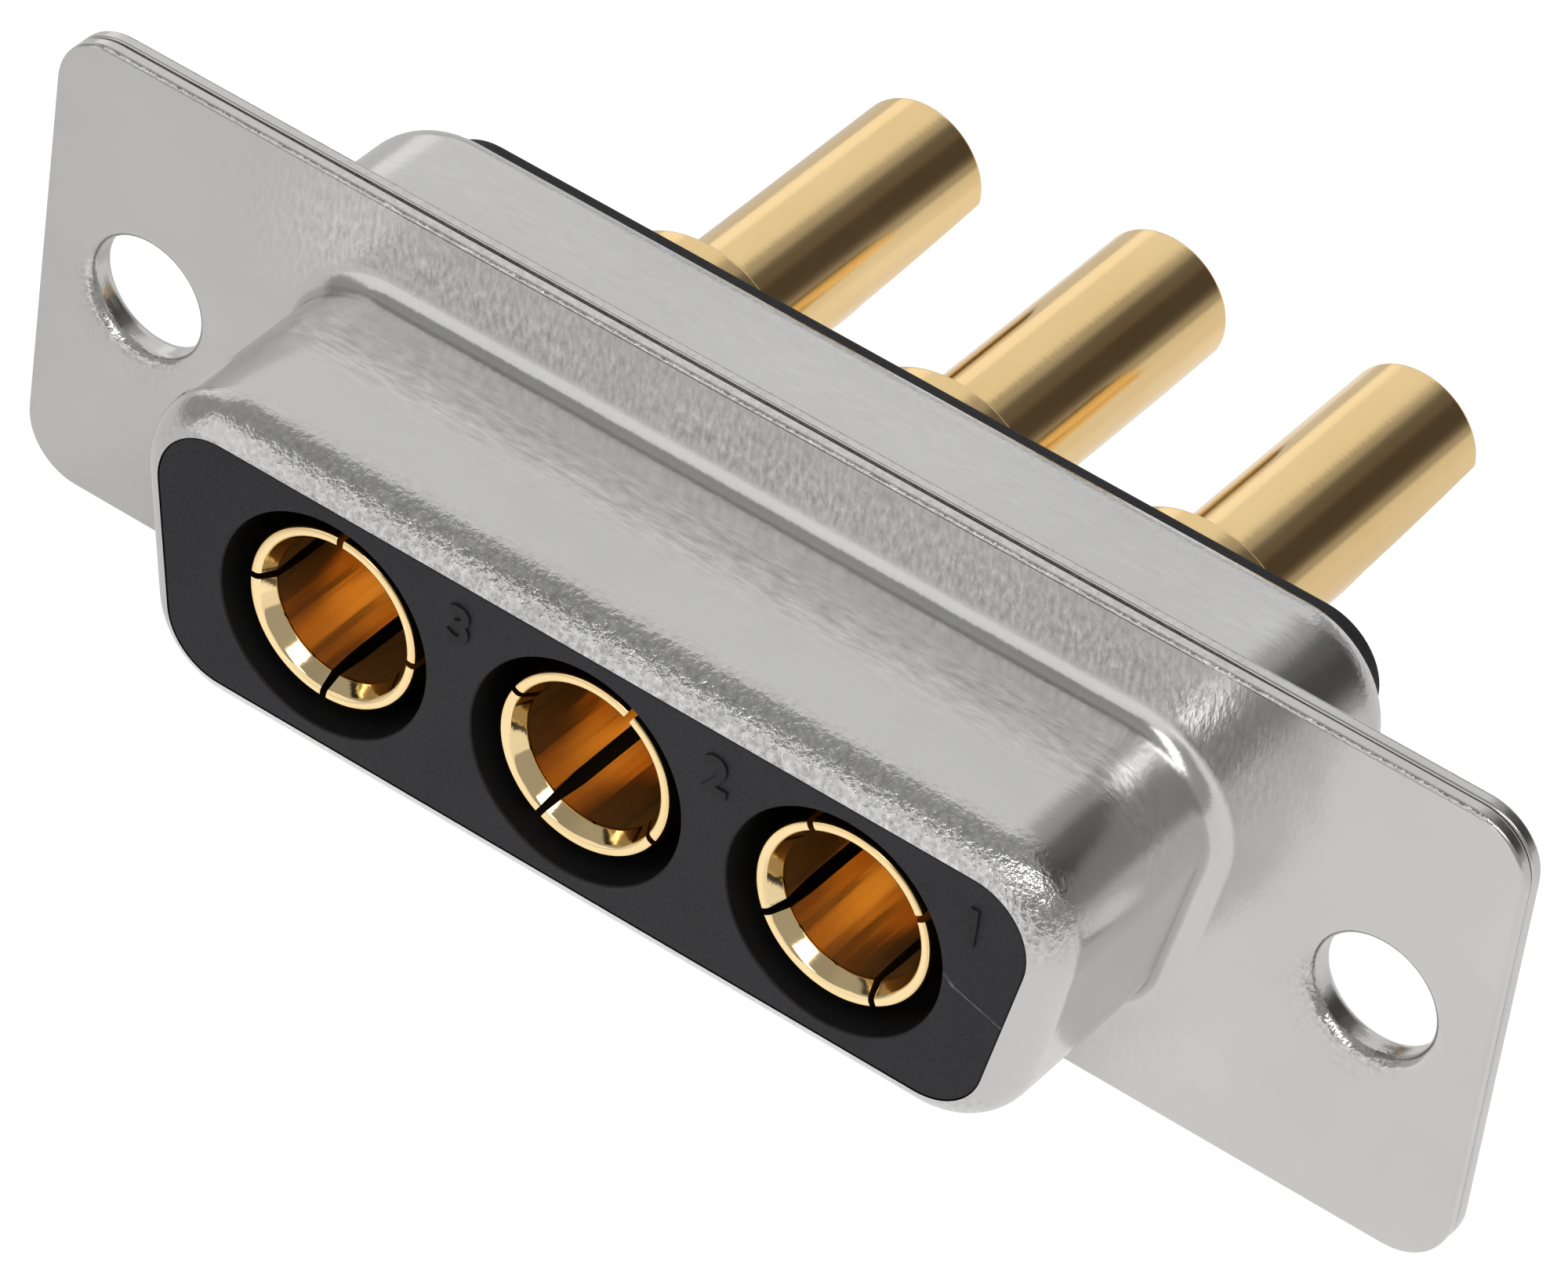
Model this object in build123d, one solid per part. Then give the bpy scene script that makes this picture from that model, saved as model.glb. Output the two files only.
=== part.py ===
from build123d import *
from math import cos, radians, sin, tan
import os

# Combination d-sub connector, socket side, with three high-power solder contacts.
# All sizes are in millimetres.
# The origin is the middle of the flange's front face, halfway between the two mounting holes.
# Seen from the mating side, X runs to the right and Z runs up, with the wide side of the D on top.
# Y runs to the rear, so the mating face looks along minus Y and the solder cups along plus Y.

# The two sheets and the flange, which reaches beyond the rear pan and the holes by these margins.
SHEET = 0.38
EDGE_ROUND = 0.1
FLANGE_CORNER = 1.5
FLANGE_RIM = 0.905
HOLE_OFFSET = 2.91
HOLE_LAND = 2.91

# The mounting hole, drawn out of the front sheet and rolled over behind the rear sheet.
HOLE_RADIUS = 1.525
HOLE_FRONT_ROUND = 0.3
COLLAR_WALL = 0.25
COLLAR_FIT = 0.025
ROLL_ROUND = 0.34
ROLL_RISE = 0.2
ROLL_LAP = 0.3
ROLL_EDGE = 0.08

# The drawn D of the front shell, measured outside.
SIDE_ANGLE = 10.0
TUBE_HALF_WIDTH = 12.33
TUBE_HALF_HEIGHT = 3.95
TUBE_CORNER = 2.3
TUBE_FRONT = 6.0
TUBE_NOSE_ROUND = 1.12
TUBE_ROOT_ROUND = 0.55
LIP_INSET = 0.73

# The drawn pan of the rear shell, measured outside, which stands out around the tube by its step.
PAN_STEP = 1.42
PAN_CORNER = 2.6
PAN_REAR = 4.8
PAN_TAIL_ROUND = 1.2
PAN_ROOT_ROUND = 0.4
PAN_LIP_INSET = 0.9

# The moulded insulator.
MOULD_GAP = 0.05
FACE_SETBACK = 0.07
PAD_EDGE = 0.08
BOSS_REAR = 5.42
BOSS_EDGE = 0.1
CONTACT_PITCH = 6.86
CAVITY_RADIUS = 2.8
WEB_RADIUS = 2.4
WEB_THICKNESS = 0.9
WEB_LEAD = 0.2

# The turned contact.
PIN_RADIUS = 1.8
SOCKET_WALL = 0.48
SOCKET_SETBACK = 0.3
SOCKET_LEAD = 0.42
SOCKET_DEPTH = 7.4
SLOT_WIDTH = 0.2
SLOT_LENGTH = 5.6
CONTACT_GAP = 0.05
COLLAR_FRONT = 4.4
COLLAR_LENGTH = 3.5
COLLAR_EDGE = 0.25
BARREL_RADIUS = 1.74
BARREL_END = 16.5
BARREL_EDGE = 0.12
CUP_RADIUS = 1.3
CUP_DEPTH = 6.4
SCOOP_DEPTH = 0.15
SCOOP_ANGLE = 6.2
SCOOP_LENGTH = 5.4
SCOOP_RUNOUT = 1.3
DRILL_ANGLE = 59.0

# Each contact can turn in its cavity, so each one stands at an angle of its own, in degrees.
# The contacts are counted 1 to 3 from the right, seen from the mating side.
SLOT_TURNS = [30.0, 64.0, 0.0]
SCOOP_TURNS = [6.0, -15.0, 0.0]

# The split retaining clip.
CLIP_WIDTH = 0.6
CLIP_BAR = 0.75
CLIP_SPLIT = 0.9
CLIP_LEAD = 0.3
GROOVE_GAP = 0.05
GROOVE_RADIUS = 1.45
CLIP_TURNS = [200.0, 75.0, 310.0]

# Sizes that follow from the ones above.
SHEETS = 2 * SHEET
PAN_HALF_WIDTH = TUBE_HALF_WIDTH + PAN_STEP
PAN_HALF_HEIGHT = TUBE_HALF_HEIGHT + PAN_STEP
HOLE_X = PAN_HALF_WIDTH + HOLE_OFFSET
FLANGE_WIDTH = 2 * (HOLE_X + HOLE_LAND)
FLANGE_HEIGHT = 2 * (PAN_HALF_HEIGHT + FLANGE_RIM)
FACE = -TUBE_FRONT + FACE_SETBACK
SOCKET_FRONT = FACE + SOCKET_SETBACK
SOCKET_RADIUS = PIN_RADIUS + SOCKET_WALL
COLLAR_RADIUS = CAVITY_RADIUS - CONTACT_GAP
COLLAR_REAR = COLLAR_FRONT + COLLAR_LENGTH
WEB_FRONT = COLLAR_FRONT - WEB_THICKNESS
CLIP_RADIUS = CAVITY_RADIUS - 2 * CONTACT_GAP
SOCKET_BOTTOM = SOCKET_FRONT + SOCKET_DEPTH
GROOVE_FRONT = WEB_FRONT - CLIP_WIDTH - GROOVE_GAP
CUP_BOTTOM = BARREL_END - CUP_DEPTH
SCOOP_START = BARREL_END - SCOOP_LENGTH
CONTACT_PLACES = [CONTACT_PITCH, 0.0, -CONTACT_PITCH]
HOLE_PLACES = [-HOLE_X, HOLE_X]
BIG = 30.0


def d_outline(half_width, half_height, corner, inset):
    """The D seen from the front: four arcs and four straight sides, all moved inwards by inset."""
    round_ = corner - inset
    lean = radians(SIDE_ANGLE)
    top_x = half_width - corner
    top_z = half_height - corner
    low_z = -top_z
    low_x = top_x - 2 * top_z * tan(lean)
    arc_top = JernArc((top_x, top_z + round_), (1, 0), round_, -(90 + SIDE_ANGLE))
    side = Line(arc_top @ 1, (low_x + round_ * cos(lean), low_z - round_ * sin(lean)))
    arc_low = JernArc(side @ 1, side % 1, round_, -(90 - SIDE_ANGLE))
    half = [Line((0, top_z + round_), arc_top @ 0), arc_top, side, arc_low, Line(arc_low @ 1, (0, low_z - round_))]
    other = [edge.mirror(Plane.YZ) for edge in half]
    return make_face(Curve() + half + other)


def tube_outline(inset):
    """The outline of the front shell's D, moved inwards by inset."""
    return d_outline(TUBE_HALF_WIDTH, TUBE_HALF_HEIGHT, TUBE_CORNER, inset)


def pan_outline(inset):
    """The outline of the rear shell's pan, moved inwards by inset."""
    return d_outline(PAN_HALF_WIDTH, PAN_HALF_HEIGHT, PAN_CORNER, inset)


def block(outline, front, rear):
    """A straight block of an outline from y = front to y = rear."""
    return extrude(Plane.XZ.offset(-rear) * outline, rear - front)


def edges_at(solid, y):
    """The edges of a solid that lie in the plane at y."""
    return solid.edges().filter_by_position(Axis.Y, y - 1e-4, y + 1e-4)


def drawn_form(outline, root, tip, root_round, tip_round, plate):
    """A plate with a D drawn out of it: the D leaves the plate at y = root and ends at y = tip."""
    draw = block(outline, min(root, tip), max(root, tip))
    draw = fillet(edges_at(draw, tip), tip_round)
    reach = draw.bounding_box().size + Vector(0.02, 0, 0.02)
    ring = []
    for edge in edges_at(plate + draw, root):
        box = edge.bounding_box()
        inside_x = max(abs(box.min.X), abs(box.max.X)) < reach.X / 2
        inside_z = max(abs(box.min.Z), abs(box.max.Z)) < reach.Z / 2
        if inside_x and inside_z:
            ring.append(edge)
    return fillet(ring, root_round)


def flange_plate(front, rear):
    """The flat flange from y = front to y = rear, with its rounded corners."""
    return block(RectangleRounded(FLANGE_WIDTH, FLANGE_HEIGHT, FLANGE_CORNER), front, rear)


def large_plate(front, rear):
    """A plate that is larger than the flange, to cut a drawn form out of a drawn form."""
    return block(Rectangle(2 * FLANGE_WIDTH, 2 * FLANGE_WIDTH), front, rear)


def turned(*points):
    """A solid of revolution about the Y axis from a closed outline of radius and y pairs."""
    return revolve(make_face(Polyline(*points, close=True)), Axis.Y)


def bore(x, radius, front, rear):
    """A straight round cutter along Y at the given x."""
    return Pos(x, 0, 0) * block(Circle(radius), front, rear)


def rolled_collar():
    """The drawn mounting hole: rounded at the front, through the rear sheet, rolled over behind it."""
    seat = HOLE_RADIUS + HOLE_FRONT_ROUND
    wall = HOLE_RADIUS + COLLAR_WALL
    top = SHEETS + ROLL_RISE
    lap = wall + ROLL_LAP
    start = Line((seat + COLLAR_WALL, 0), (seat, 0))
    mouth = RadiusArc(start @ 1, (HOLE_RADIUS, HOLE_FRONT_ROUND), HOLE_FRONT_ROUND)
    wall_in = Line(mouth @ 1, (HOLE_RADIUS, top - ROLL_ROUND))
    flare = RadiusArc(wall_in @ 1, (HOLE_RADIUS + ROLL_ROUND, top), ROLL_ROUND)
    crest = Line(flare @ 1, (lap - ROLL_EDGE, top))
    turn = RadiusArc(crest @ 1, (lap, top - ROLL_EDGE), ROLL_EDGE)
    back = Polyline(turn @ 1, (lap, SHEETS), (wall, SHEETS), (wall, SHEET), (seat + COLLAR_WALL, SHEET), start @ 0)
    return revolve(make_face([start, mouth, wall_in, flare, crest, turn, back]), Axis.Y)


def make_front_shell():
    """The drawn front shell: flange, D tube with a turned-in lip, and the two rolled collars."""
    outer = drawn_form(tube_outline(0), 0, -TUBE_FRONT, TUBE_ROOT_ROUND, TUBE_NOSE_ROUND, flange_plate(0, SHEET))
    outer = round_flange(outer, 0)
    inner = drawn_form(tube_outline(SHEET), SHEET, SHEET - TUBE_FRONT, TUBE_ROOT_ROUND + SHEET,
                       TUBE_NOSE_ROUND - SHEET, large_plate(SHEET, BIG))
    shell = outer - inner - block(tube_outline(LIP_INSET), -BIG, 0)
    for x in HOLE_PLACES:
        shell -= bore(x, HOLE_RADIUS + HOLE_FRONT_ROUND + COLLAR_WALL / 2, -1, 1)
        shell += Pos(x, 0, 0) * rolled_collar()
    return shell


def round_flange(solid, y):
    """Round the sheared outer edge of a flange on the side at y."""
    rim = []
    for edge in edges_at(solid, y):
        box = edge.bounding_box()
        if max(abs(box.min.X), abs(box.max.X)) > FLANGE_WIDTH / 2 - FLANGE_CORNER - 0.01:
            rim.append(edge)
    return fillet(rim, EDGE_ROUND)


def make_rear_shell():
    """The drawn rear shell: flange and shallow pan with a turned-in lip around the moulding."""
    outer = drawn_form(pan_outline(0), SHEETS, PAN_REAR, PAN_ROOT_ROUND, PAN_TAIL_ROUND,
                       flange_plate(SHEET, SHEETS))
    outer = round_flange(outer, SHEETS)
    inner = drawn_form(pan_outline(SHEET), SHEET, PAN_REAR - SHEET, PAN_ROOT_ROUND + SHEET,
                       PAN_TAIL_ROUND - SHEET, large_plate(-BIG, SHEET))
    shell = outer - inner - block(pan_outline(PAN_LIP_INSET), SHEETS, BIG)
    for x in HOLE_PLACES:
        shell -= bore(x, HOLE_RADIUS + COLLAR_WALL + COLLAR_FIT, -1, 1 + SHEETS)
    return shell


def make_insulator():
    """The one-piece moulding: face pad, front body, shoulder between the shells, rear boss, cavities."""
    inset = SHEET + MOULD_GAP
    front = -TUBE_FRONT + inset
    body = block(tube_outline(inset), front, SHEET)
    body = fillet(edges_at(body, front), TUBE_NOSE_ROUND - inset)
    pad = block(tube_outline(LIP_INSET + MOULD_GAP), FACE, 0)
    pad = fillet(edges_at(pad, FACE), PAD_EDGE)
    rear = PAN_REAR - inset
    shoulder = block(pan_outline(inset), SHEET, rear)
    shoulder = fillet(edges_at(shoulder, rear), PAN_TAIL_ROUND - inset)
    boss = block(pan_outline(PAN_LIP_INSET + MOULD_GAP), SHEETS, BOSS_REAR)
    boss = fillet(edges_at(boss, BOSS_REAR), BOSS_EDGE)
    mould = body + pad + shoulder + boss
    cavity = turned((0, -BIG), (CAVITY_RADIUS, -BIG), (CAVITY_RADIUS, WEB_FRONT), (WEB_RADIUS, WEB_FRONT),
                    (WEB_RADIUS, COLLAR_FRONT - WEB_LEAD), (WEB_RADIUS + WEB_LEAD, COLLAR_FRONT),
                    (CAVITY_RADIUS, COLLAR_FRONT), (CAVITY_RADIUS, BIG), (0, BIG))
    for x in CONTACT_PLACES:
        mould -= Pos(x, 0, 0) * cavity
    return mould


def make_contact(slot_turn, scoop_turn):
    """One turned contact on the Y axis: slotted socket, clip groove, collar, barrel with a solder cup."""
    drill = tan(radians(DRILL_ANGLE))
    blank = turned(
        (PIN_RADIUS, SOCKET_FRONT + SOCKET_LEAD), (PIN_RADIUS + SOCKET_LEAD, SOCKET_FRONT),
        (SOCKET_RADIUS, SOCKET_FRONT), (SOCKET_RADIUS, GROOVE_FRONT),
        (GROOVE_RADIUS, GROOVE_FRONT), (GROOVE_RADIUS, WEB_FRONT), (SOCKET_RADIUS, WEB_FRONT),
        (SOCKET_RADIUS, COLLAR_FRONT), (COLLAR_RADIUS, COLLAR_FRONT),
        (COLLAR_RADIUS, COLLAR_REAR - COLLAR_EDGE), (COLLAR_RADIUS - COLLAR_EDGE, COLLAR_REAR),
        (BARREL_RADIUS, COLLAR_REAR), (BARREL_RADIUS, BARREL_END - BARREL_EDGE),
        (BARREL_RADIUS - BARREL_EDGE, BARREL_END), (CUP_RADIUS, BARREL_END), (CUP_RADIUS, CUP_BOTTOM),
        (0, CUP_BOTTOM - CUP_RADIUS / drill), (0, SOCKET_BOTTOM + PIN_RADIUS / drill),
        (PIN_RADIUS, SOCKET_BOTTOM))
    slot_middle = SOCKET_FRONT + SLOT_LENGTH / 2
    slots = []
    for turn in (slot_turn, slot_turn + 90):
        slots.append(Rot(0, -turn, 0) * Pos(0, slot_middle, 0) * Box(BIG, SLOT_LENGTH, SLOT_WIDTH))
    return blank - slots - Rot(0, -scoop_turn, 0) * scoop_cutter()


def scoop_cutter():
    """The mill that opens the lower side of the solder cup: a sloping cut with a round run-out."""
    lean = radians(SCOOP_ANGLE)
    travel = (SCOOP_LENGTH - SCOOP_RUNOUT * (1 - sin(lean))) / cos(lean)
    start = (BARREL_END - travel * cos(lean), -SCOOP_DEPTH - travel * sin(lean))
    low = start[1] - SCOOP_RUNOUT * cos(lean)
    high = (BIG - BARREL_END) * tan(lean) - SCOOP_DEPTH
    run = RadiusArc(start, (SCOOP_START, low), -SCOOP_RUNOUT)
    rest = Polyline((SCOOP_START, low), (SCOOP_START, -BIG), (BIG, -BIG), (BIG, high), start)
    return extrude(Plane.YZ.offset(-BIG) * make_face([run, rest]), 2 * BIG)


def make_clip(turn):
    """One split retaining ring on the Y axis, chamfered at the front so that it closes in the web."""
    inner = CLIP_RADIUS - CLIP_BAR
    ring = turned((inner, GROOVE_FRONT + GROOVE_GAP), (CLIP_RADIUS - CLIP_LEAD, GROOVE_FRONT + GROOVE_GAP),
                  (CLIP_RADIUS, GROOVE_FRONT + GROOVE_GAP + CLIP_LEAD), (CLIP_RADIUS, WEB_FRONT),
                  (inner, WEB_FRONT))
    return ring - Rot(0, -turn, 0) * Pos(BIG / 2, WEB_FRONT, 0) * Box(BIG, 2, CLIP_SPLIT)


pieces = {
    "front_shell": make_front_shell(),
    "rear_shell": make_rear_shell(),
    "insulator": make_insulator(),
}
for number, x in enumerate(CONTACT_PLACES):
    name = str(number + 1)
    pieces["contact_" + name] = Pos(x, 0, 0) * make_contact(SLOT_TURNS[number], SCOOP_TURNS[number])
    pieces["retaining_clip_" + name] = Pos(x, 0, 0) * make_clip(CLIP_TURNS[number])

os.makedirs("parts", exist_ok=True)
for name, piece in pieces.items():
    solid = piece.solids()[0] if len(piece.solids()) == 1 else piece
    solid.label = name
    export_step(solid, os.path.join("parts", name + ".step"))
    size = solid.bounding_box().size
    print(name, len(piece.solids()), "solid", round(solid.volume, 2), "mm3", [round(v, 2) for v in size])
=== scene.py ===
# %% [markdown]
# # A combination d-sub connector, dressed
# The part is a panel connector with three high-power contacts in one D-shaped shell. Two thin
# plated sheets are drawn and joined at their flanges. They hold a black moulding, and the moulding
# holds three gold-plated turned contacts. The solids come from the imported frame. This lesson makes
# the finer surfaces that are seen, gives them their finishes, and lights them as in a studio.
# All shapes are worked out in millimetres and written to the meshes in metres.

# %% Load the frame
import bpy
import numpy as np
from mathutils import Matrix, Vector
from mathutils.geometry import delaunay_2d_cdt


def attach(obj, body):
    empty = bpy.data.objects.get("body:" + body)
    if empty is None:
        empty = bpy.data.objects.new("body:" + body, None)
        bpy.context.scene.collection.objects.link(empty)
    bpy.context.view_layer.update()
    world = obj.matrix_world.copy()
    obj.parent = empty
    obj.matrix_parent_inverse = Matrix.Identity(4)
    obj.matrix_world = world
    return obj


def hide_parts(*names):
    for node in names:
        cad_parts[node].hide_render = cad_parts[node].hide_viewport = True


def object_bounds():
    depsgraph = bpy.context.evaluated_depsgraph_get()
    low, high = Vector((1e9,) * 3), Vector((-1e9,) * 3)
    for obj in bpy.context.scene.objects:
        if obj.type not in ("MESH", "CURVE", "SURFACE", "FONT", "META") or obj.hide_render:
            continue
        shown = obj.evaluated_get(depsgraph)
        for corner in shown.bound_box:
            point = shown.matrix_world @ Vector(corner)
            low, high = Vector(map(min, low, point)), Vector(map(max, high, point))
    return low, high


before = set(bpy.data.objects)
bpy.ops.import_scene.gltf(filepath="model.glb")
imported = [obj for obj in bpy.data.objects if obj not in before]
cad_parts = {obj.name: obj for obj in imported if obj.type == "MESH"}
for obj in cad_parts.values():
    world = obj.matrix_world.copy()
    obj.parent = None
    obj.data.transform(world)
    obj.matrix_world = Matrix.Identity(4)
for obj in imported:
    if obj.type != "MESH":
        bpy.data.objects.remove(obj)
cad_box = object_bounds()
print("nodes:", ", ".join(sorted(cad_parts)))

# %% [markdown]
# ## One language for every surface
# A drawn or turned part is one outline carried along a path. The outline is a chain of straight
# runs and arcs in two numbers: how far out a point lies, and its y. For a turned part, out is the
# radius. For a drawn D, out is the distance from the D's own outline. Each point keeps the true
# normal of its run, so a rounded bend shades as a round and a sheared edge stays crisp.

# %% Runs and arcs of an outline
def run(start, end, steps=1):
    """Straight run. Each row is out, y, and the normal on the right-hand side of the travel."""
    t = np.linspace(0, 1, steps + 1)[:, None]
    points = np.asarray(start, float) * (1 - t) + np.asarray(end, float) * t
    along = np.subtract(end, start) / np.hypot(*np.subtract(end, start))
    return np.hstack([points, np.tile([along[1], -along[0]], (steps + 1, 1))])


def arc(centre, radius, first, last, steps=8):
    """Arc about a centre, angles in degrees from out towards y. Rising angles bulge, falling ones hollow."""
    angle = np.radians(np.linspace(first, last, steps + 1))
    spokes = np.stack([np.cos(angle), np.sin(angle)], 1)
    return np.hstack([np.asarray(centre) + radius * spokes, np.sign(last - first) * spokes])


def angle_at(centre, radius, out, side):
    """The angle at which the arc about a centre crosses a given out, on the rear (1) or front (-1) side."""
    return side * np.degrees(np.arccos((out - centre[0]) / radius))


def y_at(centre, radius, out, side):
    """The y at which the same arc crosses a given out."""
    return centre[1] + radius * np.sin(np.radians(angle_at(centre, radius, out, side)))


print("an arc's row:", np.round(arc((0, 0), 1, 0, 90, 2)[1], 3))

# %% [markdown]
# ## Paths: a D and a rounded rectangle
# The D's wide side is up and its short sides lean ten degrees. Both shells use the same kind of D
# in two sizes, so their samples pair off one to one, and a step between the two is a plain band.

# %% Closed rings of points with their outward directions
SIDE_ANGLE = 10.0


def d_ring(half_width, half_height, corner, steps=(14, 16, 8, 14, 12)):
    """Points of a D and its outward directions.

    The steps are those of the top run, the corner, the leaning side, the lower corner and the bottom
    run of the right half, and the left half is its mirror."""
    top, bend, side, low, bottom = steps
    lean = np.radians(SIDE_ANGLE)
    high = np.array([half_width - corner, half_height - corner])
    foot = np.array([high[0] - 2 * high[1] * np.tan(lean), -high[1]])
    angles = np.radians(np.linspace(90, -SIDE_ANGLE, bend + 1))
    low_angles = np.radians(np.linspace(-SIDE_ANGLE, -90, low + 1))
    spokes = np.stack([np.cos(angles), np.sin(angles)], 1)
    low_spokes = np.stack([np.cos(low_angles), np.sin(low_angles)], 1)
    upper = high + corner * spokes
    lower = foot + corner * low_spokes
    t = np.linspace(0, 1, top + 1)[:-1, None]
    s = np.linspace(0, 1, side + 1)[1:-1, None]
    b = np.linspace(0, 1, bottom + 1)[1:, None]
    points = np.vstack([upper[0] * [0, 1] * (1 - t) + upper[0] * t, upper,
                        upper[-1] * (1 - s) + lower[0] * s, lower,
                        lower[-1] * (1 - b) + lower[-1] * [0, 1] * b])
    outward = np.vstack([np.tile([0, 1], (top, 1)), spokes, np.tile(spokes[-1], (side - 1, 1)),
                         low_spokes, np.tile([0, -1], (bottom, 1))])
    mirror = np.array([-1, 1])
    return (np.vstack([points, points[-2:0:-1] * mirror]),
            np.vstack([outward, outward[-2:0:-1] * mirror]).astype(float))


def rectangle_ring(half_width, half_height, corner, steps=(40, 14, 10)):
    """Points of a rounded rectangle and its outward directions. The steps are those of the long sides,
    the corners and the short sides."""
    quarter = np.radians(np.linspace(90, 0, steps[1] + 1))
    spokes = np.stack([np.cos(quarter), np.sin(quarter)], 1)
    arcs, ways = [], []
    for turn in range(4):
        c, s = np.cos(-turn * np.pi / 2), np.sin(-turn * np.pi / 2)
        way = spokes @ np.array([[c, s], [-s, c]])
        sign = np.array([(1, 1), (1, -1), (-1, -1), (-1, 1)][turn])
        arcs.append(sign * (half_width - corner, half_height - corner) + corner * way)
        ways.append(way)
    points, outward = [], []
    for turn in range(4):
        last, first = arcs[turn][-1], arcs[(turn + 1) % 4][0]
        t = np.linspace(0, 1, steps[2 if turn % 2 == 0 else 0] + 1)[1:-1, None]
        points += [arcs[turn], last * (1 - t) + first * t]
        outward += [ways[turn], np.tile(ways[turn][-1], (len(t), 1))]
    return np.vstack(points), np.vstack(outward)


def circle_ring(x, radius, steps=72, start=0.0):
    """Points of a circle about (x, 0) and its outward directions."""
    angle = np.radians(start) + np.arange(steps) * 2 * np.pi / steps
    outward = np.stack([np.cos(angle), np.sin(angle)], 1)
    return np.array([x, 0]) + radius * outward, outward


tube = d_ring(12.33, 3.95, 2.3)
pan = d_ring(13.75, 5.37, 2.6)
rim = rectangle_ring(19.57, 6.275, 1.5)
print("samples round the D:", len(tube[0]), "and round the flange:", len(rim[0]))

# %% [markdown]
# ## From outlines to faces
# A patch is an array of four-cornered faces: corner places, corner normals and a finish number.
# Patches are kept loose while a piece is made, and one weld joins the corners that meet. Faces
# that shrink to a line at a pole or seam drop out, and each face is turned to agree with its
# normals, so that every shell ends closed and facing outwards.

# %% Patches and the weld
def cells(places, normals, finish=0):
    """Faces of a grid: each one takes four neighbouring samples of both arrays."""
    def four(a):
        return np.stack([a[:-1, :-1], a[1:, :-1], a[1:, 1:], a[:-1, 1:]], 2).reshape(-1, 4, 3)
    return four(places), four(normals), np.full(four(places).shape[0], finish)


def carried(ring, rows, finish=0):
    """A profile run carried round a closed ring: place = ring point + out times outward, normal likewise."""
    points, outward = (np.vstack([a, a[:1]]) for a in ring)
    out, y, normal_out, normal_y = (rows[:, k, None] for k in range(4))
    flat = points[None] + out[..., None] * outward[None]
    places = np.stack([flat[..., 0], y + 0 * flat[..., 0], flat[..., 1]], -1)
    normals = np.stack([normal_out * outward[None, :, 0], normal_y + 0 * flat[..., 0],
                        normal_out * outward[None, :, 1]], -1)
    return cells(places, normals, finish)


def turned(x, rows, steps=96, start=-90.0, finish=0):
    """A profile run turned about the line through (x, 0) along y: the ring is a point, out is the radius."""
    _, outward = circle_ring(x, 1, steps, start)
    return carried((np.tile([x, 0.0], (steps, 1)), outward), rows, finish)


def inside(points, loop):
    """True for points inside a convex loop: they lie on one side of all of its edges."""
    edge = np.roll(loop, -1, 0) - loop
    gap = points[:, None] - loop[None]
    side = edge[None, :, 0] * gap[..., 1] - edge[None, :, 1] * gap[..., 0]
    return (side > 1e-9).all(1) | (side < -1e-9).all(1)


def triangles(loops, extra=None):
    """Constrained triangles between an outer loop and its holes, with extra points inside."""
    points = np.vstack(loops + ([extra] if extra is not None else []))
    starts = np.cumsum([0] + [len(loop) for loop in loops])
    edges = np.vstack([np.stack([np.arange(a, b), np.roll(np.arange(a, b), -1)], 1)
                       for a, b in zip(starts[:-1], starts[1:])])
    made = delaunay_2d_cdt([Vector(p) for p in points], edges.tolist(), [], 0, 1e-7)
    corner = points[np.array([s[0] for s in made[3]])]
    three = np.array(made[2])
    middle = corner[three].mean(1)
    keep = inside(middle, loops[0])
    for hole in loops[1:]:
        keep &= ~inside(middle, hole)
    return corner[three[keep]]


def flat(loops, y, facing, extra=None, finish=0):
    """A flat area at one y between loops, facing the front (-1) or the rear (1)."""
    three = triangles(loops, extra)
    places = np.stack([three[..., 0], np.full(three.shape[:2], y), three[..., 1]], -1)
    places = np.concatenate([places, places[:, -1:]], 1)
    normals = np.zeros_like(places)
    normals[..., 1] = facing
    return places, normals, np.full(len(places), finish)


def in_scene(name, data):
    """A new object in the scene that holds the data."""
    piece = bpy.data.objects.new(name, data)
    bpy.context.scene.collection.objects.link(piece)
    return piece


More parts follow.
